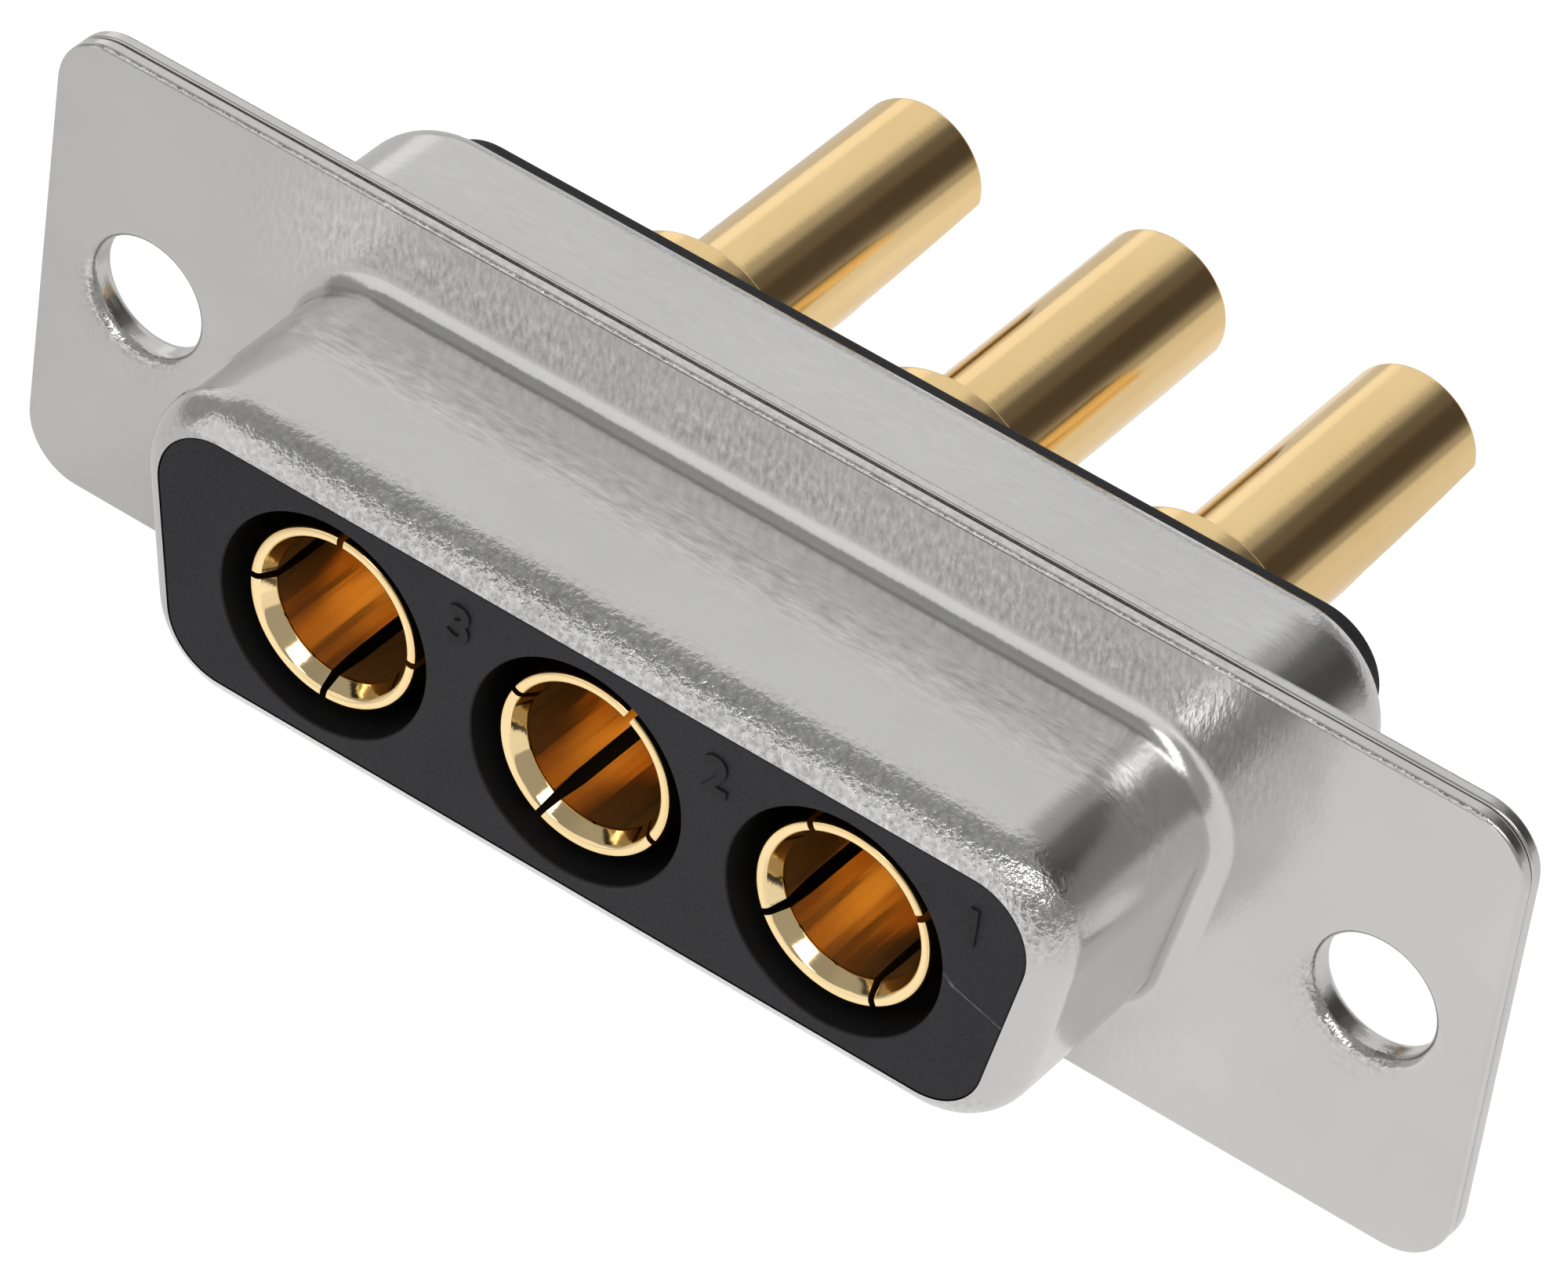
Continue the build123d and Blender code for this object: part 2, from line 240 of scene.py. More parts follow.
def weld(name, patches):
    """One mesh from patches. Corners within a tenth of a micron become one vertex, true normals are kept."""
    places = np.concatenate([p[0] for p in patches])
    normals = np.concatenate([p[1] for p in patches])
    finish = np.concatenate([p[2] for p in patches])
    across = np.cross(places[:, 2] - places[:, 0], places[:, 3] - places[:, 1])
    thin = np.linalg.norm(across, axis=1) < 1e-12
    across[thin] = np.cross(places[thin, 1] - places[thin, 0], places[thin, 2] - places[thin, 0])
    wrong = (across * normals.sum(1)).sum(1) < 0
    places[wrong], normals[wrong] = places[wrong, ::-1], normals[wrong, ::-1]
    keys = np.round(places.reshape(-1, 3) / 1e-4 + 0.137).astype(np.int64)
    _, first, index = np.unique(keys, axis=0, return_index=True, return_inverse=True)
    corner = index.reshape(-1, 4)
    twin = corner == np.roll(corner, -1, 1)
    quads = twin.sum(1) == 0
    threes = twin.sum(1) == 1
    order = (~twin[threes]).nonzero()
    tri_corner = corner[threes][order].reshape(-1, 3)
    tri_normal = normals[threes][order].reshape(-1, 3)
    mesh = bpy.data.meshes.new(name)
    points = places.reshape(-1, 3)[first] / 1000
    mesh.from_pydata(points.tolist(), [], corner[quads].tolist() + tri_corner.tolist())
    numbers = np.concatenate([finish[quads], finish[threes]])
    mesh.polygons.foreach_set("material_index", numbers.astype(np.int32))
    mesh.polygons.foreach_set("use_smooth", np.ones(len(mesh.polygons), bool))
    changed = mesh.validate()
    way = np.concatenate([normals[quads].reshape(-1, 3), tri_normal])
    way /= np.linalg.norm(way, axis=1, keepdims=True)
    mesh.normals_split_custom_set(way.tolist())
    sides = [np.stack([f, np.roll(f, -1, 1)], 2).reshape(-1, 2) for f in (corner[quads], tri_corner)]
    uses = np.unique(np.sort(np.concatenate(sides), 1), axis=0, return_counts=True)[1]
    print(name, "faces", len(mesh.polygons), "open edges", int((uses == 1).sum()), "repaired", changed)
    return in_scene(name, mesh)


def places_of(mesh):
    """The vertices' places in millimetres, one row each."""
    co = np.zeros(len(mesh.vertices) * 3, np.float32)
    mesh.vertices.foreach_get("co", co)
    return co.reshape(-1, 3) * 1000


# %% [markdown]
# ## The front shell
# The real shell is one blank, sheared, drawn and pierced. The D tube leaves the flange through a
# tight inside bend, and its nose turns in to a sheared lip that lies level with the moulding. Each
# mounting hole is drawn too: its wall goes through the rear sheet and is rolled over behind it,
# which is what holds the two shells together.

# %% Drawn tube, flange and rolled collars
SHEET = 0.38
FLANGE_REAR = 2 * SHEET
EDGE = 0.1
HOLES = (-16.66, 16.66)
HOLE = 1.525
MOUTH_ROUND = 0.3
COLLAR_OUT = 1.775
LAP_OUT = 2.075
LAP_REAR = 0.96
LAP_ROUND = 0.08
ROLL_ROUND = 0.34
NOSE_ROUND = 1.12
NOSE_INNER = NOSE_ROUND - SHEET
TUBE_NOSE = (-NOSE_ROUND, -4.88)
ROOT_ROUND = 0.55
TUBE_ROOT = (ROOT_ROUND, -ROOT_ROUND)
LIP = -0.73
GROOVE_DEPTH = 0.4
GAPE = 0.055
GAPE_ROUND = 0.045
CLAMP_START = 9
CLAMP_RUN = 6
CLOSED_LEFT = 0.45
CLOSED_RIGHT = 0.85


def rolled_collar(x):
    """The hole's wall, from under the rear sheet, over the rolled lap and out at the rounded mouth."""
    lap = (LAP_OUT - LAP_ROUND, LAP_REAR - LAP_ROUND)
    roll = (HOLE + ROLL_ROUND, LAP_REAR - ROLL_ROUND)
    chain = [run((COLLAR_OUT, SHEET), (COLLAR_OUT, FLANGE_REAR)),
             run((COLLAR_OUT, FLANGE_REAR), (LAP_OUT, FLANGE_REAR)),
             run((LAP_OUT, FLANGE_REAR), (LAP_OUT, lap[1])), arc(lap, LAP_ROUND, 0, 90, 5),
             run((lap[0], LAP_REAR), (roll[0], LAP_REAR)), arc(roll, ROLL_ROUND, 90, 180, 10),
             run((HOLE, roll[1]), (HOLE, MOUTH_ROUND), 2),
             arc((HOLE + MOUTH_ROUND, MOUTH_ROUND), MOUTH_ROUND, 180, 270, 10)]
    return [turned(x, rows, 72, 0.0) for rows in chain]


def clamped(patch):
    """A side of the groove between the sheets, drawn in towards the holes, where the collars clamp them.

    The depth keeps a share of one less a smooth step, which is larger on the right than on the left."""
    places = patch[0].copy()
    step = np.clip((np.abs(places[..., 0]) - CLAMP_START) / CLAMP_RUN, 0, 1)
    share = 1 - np.where(places[..., 0] > 0, CLOSED_RIGHT, CLOSED_LEFT) * step ** 2 * (3 - 2 * step)
    depth = places[..., 1] - SHEET
    size = np.abs(depth)
    lip = GAPE * share + (size - GAPE) * (GAPE + GAPE_ROUND - GAPE * share) / GAPE_ROUND
    places[..., 1] = SHEET + np.sign(depth) * np.where(size < GAPE, size * share, lip)
    return places, patch[1], patch[2]


def mesh_points(spacing, loops, keep_out):
    """A staggered field of points inside the first loop that stays clear of every loop."""
    x = np.arange(-20, 20, spacing)
    z = np.arange(-7, 7, spacing * 0.87)
    grid = np.stack(np.meshgrid(x, z), -1)
    grid[1::2, :, 0] += spacing / 2
    grid = grid.reshape(-1, 2)
    near = np.min([np.linalg.norm(grid[:, None] - loop[None], axis=2).min(1) for loop in loops], 0)
    good = inside(grid, loops[0]) & (near > keep_out)
    for loop in loops[1:]:
        good &= ~inside(grid, loop)
    return grid[good]


def moved(ring, out):
    """The ring's points moved outwards by out."""
    return ring[0] + out * ring[1]


front_loops = [moved(rim, -EDGE), moved(tube, ROOT_ROUND)]
front_loops += [circle_ring(x, HOLE + MOUTH_ROUND)[0] for x in HOLES]
back_loops = [moved(rim, -GROOVE_DEPTH), moved(tube, ROOT_ROUND)]
back_loops += [circle_ring(x, COLLAR_OUT)[0] for x in HOLES]
lip_start = SHEET - GAPE - GAPE_ROUND
shell_patches = [
    carried(tube, arc(TUBE_NOSE, NOSE_ROUND, angle_at(TUBE_NOSE, NOSE_ROUND, LIP, -1), 0, 14)),
    carried(tube, run((0, TUBE_NOSE[1]), (0, -ROOT_ROUND), 12)),
    carried(tube, arc(TUBE_ROOT, ROOT_ROUND, 180, 90, 10)),
    carried(tube, arc(TUBE_ROOT, ROOT_ROUND + SHEET, 90, 180, 10)),
    carried(tube, run((-SHEET, -ROOT_ROUND), (-SHEET, TUBE_NOSE[1]), 4)),
    carried(tube, arc(TUBE_NOSE, NOSE_INNER, 0, angle_at(TUBE_NOSE, NOSE_INNER, LIP, -1), 8)),
    carried(tube, run((LIP, y_at(TUBE_NOSE, NOSE_INNER, LIP, -1)),
                      (LIP, y_at(TUBE_NOSE, NOSE_ROUND, LIP, -1)))),
    carried(rim, arc((-EDGE, EDGE), EDGE, -90, 0, 5)),
    carried(rim, run((0, EDGE), (0, lip_start))),
    clamped(carried(rim, arc((-GAPE_ROUND, lip_start), GAPE_ROUND, 0, 90, 4))),
    clamped(carried(rim, run((-GAPE_ROUND, SHEET - GAPE), (-GROOVE_DEPTH, SHEET)))),
    flat(front_loops, 0.0, -1, mesh_points(0.8, front_loops, 0.35)),
    flat(back_loops, SHEET, 1),
]
for x in HOLES:
    shell_patches += rolled_collar(x)
front_shell = weld("drawn_front_shell", shell_patches)

# %% [markdown]
# ## The rear shell
# It is drawn to the rear as a shallow pan that is wider than the tube, with a turned-in lip round
# the moulding. Its flange lies behind the front one, and the groove between the two sheared edges
# is a thin dark line, which closes towards the ends.

# %% Drawn pan and flange
TAIL_ROUND = 1.2
TAIL_INNER = TAIL_ROUND - SHEET
PAN_TAIL = (-TAIL_ROUND, 3.6)
FOOT_ROUND = 0.4
PAN_ROOT = (FOOT_ROUND, FLANGE_REAR + FOOT_ROUND)
PAN_LIP = -0.9
REAR_HOLE = 1.8
rear_holes = [circle_ring(x, REAR_HOLE)[0] for x in HOLES]
rear_loops = [moved(rim, -GROOVE_DEPTH), moved(pan, FOOT_ROUND)] + rear_holes
tail_loops = [moved(rim, -EDGE), moved(pan, FOOT_ROUND)] + rear_holes
lip_end = SHEET + GAPE + GAPE_ROUND
rear_patches = [
    flat(rear_loops, SHEET, -1),
    flat(tail_loops, FLANGE_REAR, 1, mesh_points(0.8, tail_loops, 0.35)),
    clamped(carried(rim, run((-GROOVE_DEPTH, SHEET), (-GAPE_ROUND, SHEET + GAPE)))),
    clamped(carried(rim, arc((-GAPE_ROUND, lip_end), GAPE_ROUND, -90, 0, 4))),
    carried(rim, run((0, lip_end), (0, FLANGE_REAR - EDGE))),
    carried(rim, arc((-EDGE, FLANGE_REAR - EDGE), EDGE, 0, 90, 5)),
    carried(pan, arc(PAN_ROOT, FOOT_ROUND, -90, -180, 10)),
    carried(pan, run((0, PAN_ROOT[1]), (0, PAN_TAIL[1]), 8)),
    carried(pan, arc(PAN_TAIL, TAIL_ROUND, 0, angle_at(PAN_TAIL, TAIL_ROUND, PAN_LIP, 1), 14)),
    carried(pan, run((PAN_LIP, y_at(PAN_TAIL, TAIL_ROUND, PAN_LIP, 1)),
                     (PAN_LIP, y_at(PAN_TAIL, TAIL_INNER, PAN_LIP, 1)))),
    carried(pan, arc(PAN_TAIL, TAIL_INNER, angle_at(PAN_TAIL, TAIL_INNER, PAN_LIP, 1), 0, 8)),
    carried(pan, run((-SHEET, PAN_TAIL[1]), (-SHEET, PAN_ROOT[1]), 4)),
    carried(pan, arc(PAN_ROOT, FOOT_ROUND + SHEET, 180, 270, 10)),
]
for x in HOLES:
    rear_patches.append(turned(x, run((REAR_HOLE, FLANGE_REAR), (REAR_HOLE, SHEET)), 72, 0.0))
rear_shell = weld("drawn_rear_shell", rear_patches)

# %% [markdown]
# ## The moulding
# One black part fills both shells: a pad that shows inside the lip, a body in the tube, a shoulder
# that the pan traps, and a boss at the rear. Three stepped cavities run through it. The cavity
# walls come from polished core pins, so they are smoother than the face, and their colour is
# painted darker than the face as painted shade, for the dark down in the deep holes.

# %% Moulded insulator with its three cavities
PITCH = 6.86
CONTACTS = (PITCH, 0.0, -PITCH)
FACE = -5.93
BOSS = 5.42
PAD = -0.75
PAD_EDGE = 0.06
GAP = 0.05
WALL = SHEET + GAP
BOSS_SIDE = -0.95
NOSE_FILL = NOSE_ROUND - WALL
TAIL_FILL = TAIL_ROUND - WALL
CAVITY = 2.8
CAVITY_EDGE = 0.05
WEB = 2.4
WEB_FRONT = 3.5
WEB_REAR = 4.4
WEB_LEAD = 0.2


def step_between(ring_a, out_a, ring_b, out_b, y, facing):
    """A flat band at one y from one ring to another with the same samples."""
    both = np.stack([moved(ring_a, out_a), moved(ring_b, out_b)])
    both = np.concatenate([both, both[:, :1]], 1)
    places = np.stack([both[..., 0], np.full(both.shape[:2], y), both[..., 1]], -1)
    normals = np.zeros_like(places)
    normals[..., 1] = facing
    return cells(places, normals)


def cavity(x):
    """The wall of one cavity from the rear to the front, past the web between the collar and the clip."""
    mouth, rear, front = CAVITY + CAVITY_EDGE, BOSS - CAVITY_EDGE, FACE + CAVITY_EDGE
    chain = [arc((mouth, rear), CAVITY_EDGE, 90, 180, 3), run((CAVITY, rear), (CAVITY, WEB_REAR)),
             run((CAVITY, WEB_REAR), (WEB + WEB_LEAD, WEB_REAR)),
             run((WEB + WEB_LEAD, WEB_REAR), (WEB, WEB_REAR - WEB_LEAD)),
             run((WEB, WEB_REAR - WEB_LEAD), (WEB, WEB_FRONT)), run((WEB, WEB_FRONT), (CAVITY, WEB_FRONT)),
             run((CAVITY, WEB_FRONT), (CAVITY, front), 6), arc((mouth, front), CAVITY_EDGE, 180, 270, 3)]
    return [turned(x, rows, 96, finish=1) for rows in chain]


mouths = [circle_ring(x, CAVITY + CAVITY_EDGE, 96, -90)[0] for x in CONTACTS]
mould_patches = [
    flat([moved(tube, PAD - PAD_EDGE)] + mouths, FACE, -1),
    flat([moved(pan, BOSS_SIDE - EDGE)] + mouths, BOSS, 1),
    carried(tube, arc((PAD - PAD_EDGE, FACE + PAD_EDGE), PAD_EDGE, -90, 0, 4)),
    carried(tube, run((PAD, FACE + PAD_EDGE), (PAD, y_at(TUBE_NOSE, NOSE_FILL, PAD, -1)))),
    carried(tube, arc(TUBE_NOSE, NOSE_FILL, angle_at(TUBE_NOSE, NOSE_FILL, PAD, -1), 0, 6)),
    carried(tube, run((-WALL, TUBE_NOSE[1]), (-WALL, SHEET))),
    step_between(tube, -WALL, pan, -WALL, SHEET, -1),
    carried(pan, run((-WALL, SHEET), (-WALL, PAN_TAIL[1]))),
    carried(pan, arc(PAN_TAIL, TAIL_FILL, 0, angle_at(PAN_TAIL, TAIL_FILL, BOSS_SIDE, 1), 6)),
    carried(pan, run((BOSS_SIDE, y_at(PAN_TAIL, TAIL_FILL, BOSS_SIDE, 1)), (BOSS_SIDE, BOSS - EDGE))),
    carried(pan, arc((BOSS_SIDE - EDGE, BOSS - EDGE), EDGE, 0, 90, 5)),
]
for x in CONTACTS:
    mould_patches += cavity(x)
insulator = weld("moulded_insulator", mould_patches)

# %% [markdown]
# ## The contacts
# Each contact is turned from one bar and gold plated: a socket with a polished lead-in, a groove
# for the clip, a collar and a barrel with a solder cup. Two crossed saw cuts make four tines. A cut
# has flat walls a constant width apart, so the angle it takes away grows towards the axis: it is
# the arcsine of half the width over the radius. The cup is milled open along its lower side.

# %% Turned contact with four tines and a milled cup
SLOT_TURNS = (30.0, 64.0, 0.0)
SCOOP_TURNS = (6.0, -15.0, 0.0)
SOCKET = 2.28
BORE = 1.8
SOCKET_FRONT = -5.63
TIP_ROUND = 0.09
LIP_ROUND = 0.16
LIP_MIDDLE = 2.135
LEAD_ROUND = 0.14
SLOT_END = -0.03
SLOT_HALF = (0.085, 0.19)
BORE_END = 1.77
GROOVE = 1.45
GROOVE_FRONT = 2.85
COLLAR = 2.75
COLLAR_REAR = 7.9
COLLAR_CUT = 0.25
COLLAR_ROUND = 0.1
FILLET = 0.05
BARREL = 1.74
BARREL_END = 16.5
BARREL_EDGE = 0.12
CUP = 1.3
CUP_BOTTOM = 10.1
MILL = 1.3
MILL_START = 12.4
MILL_LEAN = np.radians(6.2)
MILL_LEVEL = -0.15
DRILL = np.tan(np.radians(59))


def slot_half(y):
    """Half the gap between two tines. They are closed in at the tip, and it widens to the slot's end."""
    return np.interp(y, (-5.6, -4.5, SLOT_END), (SLOT_HALF[0], 0.9 * SLOT_HALF[1], SLOT_HALF[1]))


def tine(x, turn):
    """One quarter of the slotted socket wall: the wall's outline turned through what the saw leaves.

    The lead-in is a cone of 30 degrees between a rounded land and a round at the bore."""
    tip = (SOCKET - TIP_ROUND, SOCKET_FRONT + TIP_ROUND)
    lip = arc((LIP_MIDDLE, SOCKET_FRONT + LIP_ROUND), LIP_ROUND, 210, 270, 8)
    meet = lip[0, 1] + (lip[0, 0] - BORE) / np.tan(np.radians(30))
    lead = arc((BORE + LEAD_ROUND, meet + LEAD_ROUND * np.tan(np.radians(15))), LEAD_ROUND, 180, 210, 5)
    chain = [arc(tip, TIP_ROUND, -90, 0, 6), run((SOCKET, tip[1]), (SOCKET, SLOT_END), 14),
             run((SOCKET, SLOT_END), (BORE, SLOT_END)), run((BORE, SLOT_END), lead[0, :2], 14), lead,
             run(lead[-1, :2], lip[0, :2], 3), lip, run(lip[-1, :2], (tip[0], SOCKET_FRONT))]
    patches = []
    for rows, finish in zip(chain, (0, 0, 0, 1, 2, 2, 2, 2)):
        shy = np.arcsin(slot_half(rows[:, 1]) / rows[:, 0])[:, None]
        angle = np.radians(turn) + shy + np.linspace(0, 1, 25)[None] * (np.pi / 2 - 2 * shy)
        c, s = np.cos(angle), np.sin(angle)
        out, y, normal_out, normal_y = (rows[:, k, None] for k in range(4))
        places = np.stack([x + out * c, y + 0 * c, out * s], -1)
        normals = np.stack([normal_out * c, normal_y + 0 * c, normal_out * s], -1)
        patches.append(cells(places, normals, finish))
    outline = np.vstack([rows[:-1, :2] for rows in chain])
    three = triangles_any(outline)
    for way, base in ((1, np.radians(turn)), (-1, np.radians(turn) + np.pi / 2)):
        out, y = three[..., 0], three[..., 1]
        angle = base + way * np.arcsin(slot_half(y) / out)
        places = np.stack([x + out * np.cos(angle), y, out * np.sin(angle)], -1)
        places = np.concatenate([places, places[:, -1:]], 1)
        wall = np.array([way * np.sin(base), 0, -way * np.cos(base)])
        patches.append((places, np.tile(wall, places.shape[:2] + (1,)), np.zeros(len(places), int)))
    return patches


def triangles_any(loop):
    """Triangles that fill a loop of any form: those of the triangulation whose middle lies inside it."""
    count = len(loop)
    edges = np.stack([np.arange(count), np.roll(np.arange(count), -1)], 1)
    made = delaunay_2d_cdt([Vector(p) for p in loop], edges.tolist(), [], 1, 1e-7)
    source = np.array([s[0] for s in made[3]])
    return loop[source][np.array(made[2])]


def barrel_rows():
    """The turned rest of the contact: socket root, groove, collar, the barrel's whole part and the cup's."""
    shift = COLLAR_ROUND * np.tan(np.radians(22.5))
    first = arc((COLLAR - COLLAR_ROUND, COLLAR_REAR - COLLAR_CUT - shift), COLLAR_ROUND, 0, 45, 3)
    second = arc((COLLAR - COLLAR_CUT - shift, COLLAR_REAR - COLLAR_ROUND), COLLAR_ROUND, 45, 90, 3)
    corners = [(0, BORE_END + BORE / DRILL), (BORE, BORE_END), (BORE, SLOT_END), (SOCKET, SLOT_END),
               (SOCKET, GROOVE_FRONT), (GROOVE, GROOVE_FRONT), (GROOVE, WEB_FRONT), (SOCKET, WEB_FRONT),
               (SOCKET, WEB_REAR), (COLLAR, WEB_REAR)]
    chain = [run(start, end) for start, end in zip(corners[:-1], corners[1:])]
    chain += [run(corners[-1], first[0, :2], 2), first, run(first[-1, :2], second[0, :2]), second,
              run(second[-1, :2], (BARREL + FILLET, COLLAR_REAR)),
              arc((BARREL + FILLET, COLLAR_REAR + FILLET), FILLET, -90, -180, 3),
              run((BARREL, COLLAR_REAR + FILLET), (BARREL, SCOOP[0, 1]), 3)]
    cup = [run((CUP, SCOOP[0, 1]), (CUP, CUP_BOTTOM), 2),
           run((CUP, CUP_BOTTOM), (0, CUP_BOTTOM - CUP / DRILL))]
    return chain + cup


def scoop_table():
    """Rows of the milled cut: height, y, its normal and the barrel's radius.

    The mill starts on a quarter circle that just enters the barrel and then climbs at a lean, so the
    height falls below its level at the end by the distance from the end times the tangent of the lean.
    The last rows follow the round edge of the barrel's end, where the radius shrinks."""
    drop = (BARREL_END - MILL_START + MILL * np.sin(MILL_LEAN)) * np.tan(MILL_LEAN)
    middle = MILL_LEVEL - drop - MILL * np.cos(MILL_LEAN)
    first = np.pi - np.arcsin((-BARREL - middle) / MILL)
    touch = np.pi - np.arcsin((-CUP - middle) / MILL)
    angle = np.concatenate([np.linspace(first, touch, 4), np.linspace(touch, np.pi / 2 + MILL_LEAN, 12)[1:]])
    c, s = np.cos(angle), np.sin(angle)
    bend = np.stack([middle + MILL * s, MILL_START + MILL * c, -c, -s], 1)
    edge = np.radians([0, 30, 60, 90])
    y = np.concatenate([[13.2, 14.2, 15.2, 16.0], BARREL_END - BARREL_EDGE + BARREL_EDGE * np.sin(edge)])
    level = np.stack([MILL_LEVEL - (BARREL_END - y) * np.tan(MILL_LEAN), y,
                      0 * y + np.sin(MILL_LEAN), 0 * y - np.cos(MILL_LEAN)], 1)
    radius = np.concatenate([np.full(len(bend) + 4, BARREL),
                             BARREL - BARREL_EDGE + BARREL_EDGE * np.cos(edge)])
    return np.column_stack([np.vstack([bend, level]), radius])


SCOOP = scoop_table()


def milled_cup(x, turn):
    """The open part of the barrel: outer and inner wall end where the mill passed, and a band joins them.

    Each row keeps the barrel's own even angles and stops them at the cut, whose angle is the arcsine of
    height over radius, so that no face is skewed."""
    height, y, ny, nz, radius = (SCOOP[:, k, None] for k in range(5))
    t = np.linspace(0, 1, 97)[None]
    spin = np.radians(turn)
    patches = []
    edges = []
    for size, sign in ((radius, 1.0), (np.full_like(radius, CUP), -1.0)):
        first = np.arcsin(np.clip(height / size, -1, 1))
        angle = np.clip(np.pi * (2 * t - 0.5), first, np.pi - first) + spin
        c, s = np.cos(angle), np.sin(angle)
        lean = np.clip((y - BARREL_END + BARREL_EDGE) / BARREL_EDGE, 0, 1) * (sign > 0)
        level = np.sqrt(1 - lean ** 2)
        places = np.stack([x + size * c, y + 0 * c, size * s], -1)
        patches.append(cells(places, np.stack([sign * c * level, lean + 0 * c, sign * s * level], -1)))
        edges.append(places[-1])
    ends = np.stack(edges)
    up = np.zeros_like(ends)
    up[..., 1] = 1
    patches.append(cells(ends, up))
    wide = np.sqrt(np.maximum(radius ** 2 - height ** 2, 0))
    narrow = np.sqrt(np.maximum(CUP ** 2 - height ** 2, 0))
    c, s = np.cos(spin), np.sin(spin)
    for way in (1, -1):
        across = way * np.hstack([wide, narrow])
        level = 0 * across
        places = np.stack([x + across * c - height * s, y + level, across * s + height * c], -1)
        normals = np.stack([level - nz * s, level + ny, level + nz * c], -1)
        patches.append(cells(places, normals))
    return patches


contacts = []
for number, x in enumerate(CONTACTS):
    patches = []
    for quarter in range(4):
        patches += tine(x, SLOT_TURNS[number] + 90 * quarter)
    patches += [turned(x, rows, 96, SCOOP_TURNS[number] - 90) for rows in barrel_rows()]
    patches += milled_cup(x, SCOOP_TURNS[number])
    contacts.append(weld("turned_contact_" + str(number + 1), patches))

# %% [markdown]
# ## Position numbers
# The moulding carries small raised position marks beside the cavities. They are plain digits here, in a
# smoother black that is painted darker than the face as painted shade.
# A text object is made a mesh first and then laid on the face by its vertices, so that the object
# itself stays at the origin.

# %% Raised digits on the face
DIGIT_HEIGHT = 0.95
DIGIT_RISE = 0.05
DIGIT_SPREAD = 0.032
DIGIT_EDGE = 0.012


def digit(text, x, z, height):
    """A digit as a thin raised slab: its x stays, its y becomes z, and its depth faces the front.

    The font's digits are 0.7 of its size high."""
    curve = bpy.data.curves.new("digit", "FONT")
    curve.body = text
    curve.size = height / 0.7 / 1000
    curve.offset = DIGIT_SPREAD / 1000
    curve.extrude = DIGIT_RISE / 1000
    curve.bevel_depth = DIGIT_EDGE / 1000
    curve.bevel_resolution = 1
    curve.resolution_u = 6
    curve.align_x = "CENTER"
    curve.align_y = "CENTER"
    holder = in_scene("digit", curve)
    bpy.context.view_layer.update()
    mesh = bpy.data.meshes.new_from_object(holder.evaluated_get(bpy.context.evaluated_depsgraph_get()))
    bpy.data.objects.remove(holder)
    co = places_of(mesh)
    placed = np.stack([x + co[:, 0], FACE - co[:, 2], z + co[:, 1]], 1) / 1000
    mesh.vertices.foreach_set("co", placed.astype(np.float32).ravel())
    mesh.update()
    return in_scene("position_mark_" + text, mesh)


marks = [digit(text, x, z, DIGIT_HEIGHT) for text, x, z in
         (("3", -3.36, 2.1), ("2", 3.5, 2.05), ("1", 10.2, 1.95))]
print("marks:", [(m.name, len(m.data.vertices)) for m in marks])

# %% [markdown]
# ## Finishes
# Every finish is worked out from the object's own coordinates. A finish has a colour that varies a
# little, a roughness that varies with it, and a fine height pattern for the light to catch.

# %% Small helpers for node trees
def hands(tree):
    """Two short ways to work on a node tree: one adds a node and sets its values, one joins two sockets."""
    def add(kind, **values):
        node = tree.nodes.new(kind)
        for key, value in values.items():
            if hasattr(node, key):
                setattr(node, key, value)
            else:
                node.inputs[key].default_value = value
        return node

    def join(source, target):
        tree.links.new(source, target)

    return add, join


def finish(name, metal=0.0):
    """A new material with its principled shader, the tree's hands and the object's own coordinates."""
    material = bpy.data.materials.new(name)
    material.use_nodes = True
    add, join = hands(material.node_tree)
    shader = material.node_tree.nodes["Principled BSDF"]
    shader.inputs["Metallic"].default_value = metal
    return material, shader, add, join, add("ShaderNodeTexCoord").outputs["Object"]


def worked(add, join, operation, *values, kind="ShaderNodeMath", out=0, **settings):
    """The result of a math node. Each value is a number, a vector or another node's output."""
    node = add(kind, operation=operation, **settings)
    for socket, value in zip(node.inputs, values):
        if isinstance(value, bpy.types.NodeSocket):
            join(value, socket)
        else:
            socket.default_value = value
    return node.outputs[out]


def vectored(add, join, operation, *values, out=0):
    """The same with a vector math node, whose second output is a number."""
    return worked(add, join, operation, *values, kind="ShaderNodeVectorMath", out=out)


def noise(add, join, coordinates, scale, detail=2.0, rough=0.5, stretch=(1, 1, 1)):
    """A noise pattern at a scale per metre, drawn out along an axis by the stretch."""
    place = add("ShaderNodeMapping", Scale=stretch)
    join(coordinates, place.inputs["Vector"])
    pattern = add("ShaderNodeTexNoise", Scale=scale, Detail=detail, Roughness=rough)
    join(place.outputs["Vector"], pattern.inputs["Vector"])
    return pattern.outputs["Fac"]


def spread(add, join, value, low, high, from_low=0.3, from_high=0.7, shape="LINEAR"):
    """A value's range mapped to a new range."""
    node = add("ShaderNodeMapRange", interpolation_type=shape)
    ends = (("From Min", from_low), ("From Max", from_high), ("To Min", low), ("To Max", high))
    for socket, end in ends:
        node.inputs[socket].default_value = end
    join(value, node.inputs["Value"])
    return node.outputs["Result"]


def two_tone(add, join, value, first, second):
    """A colour between two, by a value. The first is a colour or another node's output."""
    node = add("ShaderNodeMix", data_type="RGBA")
    join(value, node.inputs[0])
    if isinstance(first, bpy.types.NodeSocket):
        join(first, node.inputs[6])
    else:
        node.inputs[6].default_value = (*first, 1)
    node.inputs[7].default_value = (*second, 1)
    return node.outputs[2]


def scaled(add, join, value, amount, base=0.0):
    """A value times an amount, plus a base."""
    return worked(add, join, "MULTIPLY_ADD", value, amount, base)


